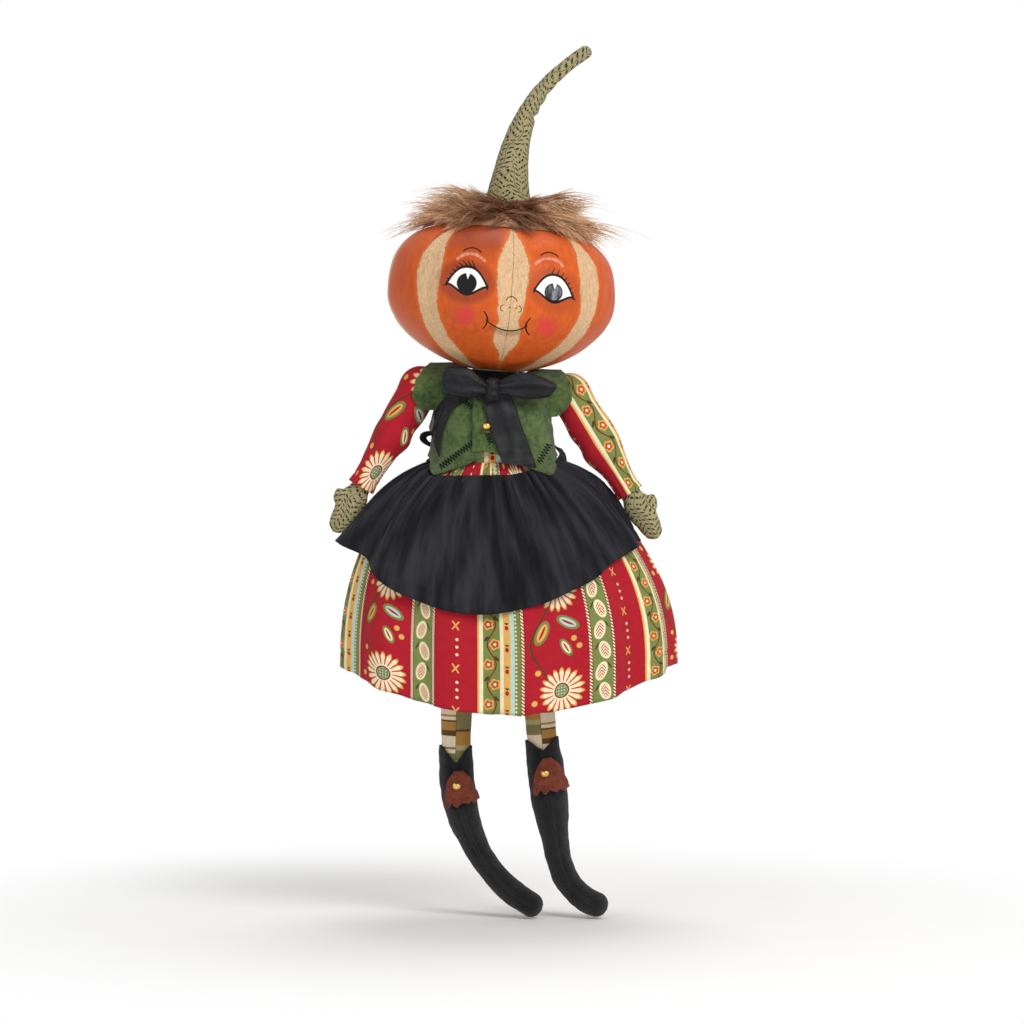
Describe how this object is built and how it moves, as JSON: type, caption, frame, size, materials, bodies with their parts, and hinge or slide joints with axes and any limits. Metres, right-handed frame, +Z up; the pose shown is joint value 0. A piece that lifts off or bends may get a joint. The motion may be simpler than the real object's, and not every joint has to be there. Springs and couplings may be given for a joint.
{
  "type": "pumpkin doll",
  "caption": "Stuffed cloth doll with a pumpkin head, curled stem, print dress, felt vest, apron and boots; head turns, arms lift and legs swing.",
  "frame": {"origin": "middle of the flat seat under the trunk", "axes": "+Z up, -Y the way the doll faces, +X to the right as seen from the front"},
  "size_m": [0.203, 0.1314, 0.5036],
  "materials": {
    "muslin": "plain weave",
    "print_cloth": "printed cotton",
    "painted_canvas": "painted satin",
    "faux_fur": "long pile",
    "sprig_cloth": "printed cotton",
    "organza": "sheer",
    "black_cotton": "plain weave",
    "green_felt": "felt",
    "striped_cloth": "striped cotton",
    "black_felt": "felt",
    "brown_felt": "felt",
    "gold_bead": "polished"
  },
  "bodies": {
    "trunk": {"trunk": "muslin", "neck": "muslin", "neck_ribbon": "organza", "dress_bodice": "print_cloth", "skirt_front": "print_cloth", "skirt_back": "print_cloth", "apron": "black_cotton", "apron_waistband": "black_cotton", "vest_front_left": "green_felt", "vest_front_right": "green_felt", "vest_back": "green_felt", "vest_button": "gold_bead", "bow_knot": "organza", "bow_loop_left": "organza", "bow_loop_right": "organza", "bow_tail_left": "organza", "bow_tail_right": "organza", "tie_knot": "black_cotton", "tie_loop_left": "black_cotton", "tie_loop_right": "black_cotton", "tie_tail_left": "black_cotton", "tie_tail_right": "black_cotton"},
    "head": {"head": "painted_canvas", "hair_tuft": "faux_fur", "stem": "sprig_cloth"},
    "left_arm": {"left_arm": "sprig_cloth", "left_sleeve": "print_cloth"},
    "right_arm": {"right_arm": "sprig_cloth", "right_sleeve": "print_cloth"},
    "left_leg": {"left_leg": "striped_cloth", "left_boot": "black_felt", "left_boot_flap": "brown_felt", "left_boot_bead": "gold_bead"},
    "right_leg": {"right_leg": "striped_cloth", "right_boot": "black_felt", "right_boot_flap": "brown_felt", "right_boot_bead": "gold_bead"}
  },
  "joints": [
    {"name": "head_turn", "type": "hinge", "parent": "trunk", "child": "head", "pos_m": [0.0043, 0, 0.1685], "axis": [0.0767, 0, 0.9971], "range_deg": [-20, 20]},
    {"name": "left_arm_lift", "type": "hinge", "parent": "trunk", "child": "left_arm", "pos_m": [-0.04185, 0, 0.117], "axis": [0, 1, 0], "range_deg": [0, 60]},
    {"name": "right_arm_lift", "type": "hinge", "parent": "trunk", "child": "right_arm", "pos_m": [0.04423, 0, 0.113], "axis": [0, -1, 0], "range_deg": [0, 60]},
    {"name": "left_leg_swing", "type": "hinge", "parent": "trunk", "child": "left_leg", "pos_m": [-0.02, 0, -0.0068], "axis": [-1, 0, 0], "range_deg": [-30, 30]},
    {"name": "right_leg_swing", "type": "hinge", "parent": "trunk", "child": "right_leg", "pos_m": [0.022, 0, -0.0068], "axis": [-1, 0, 0], "range_deg": [-30, 30]}
  ]
}
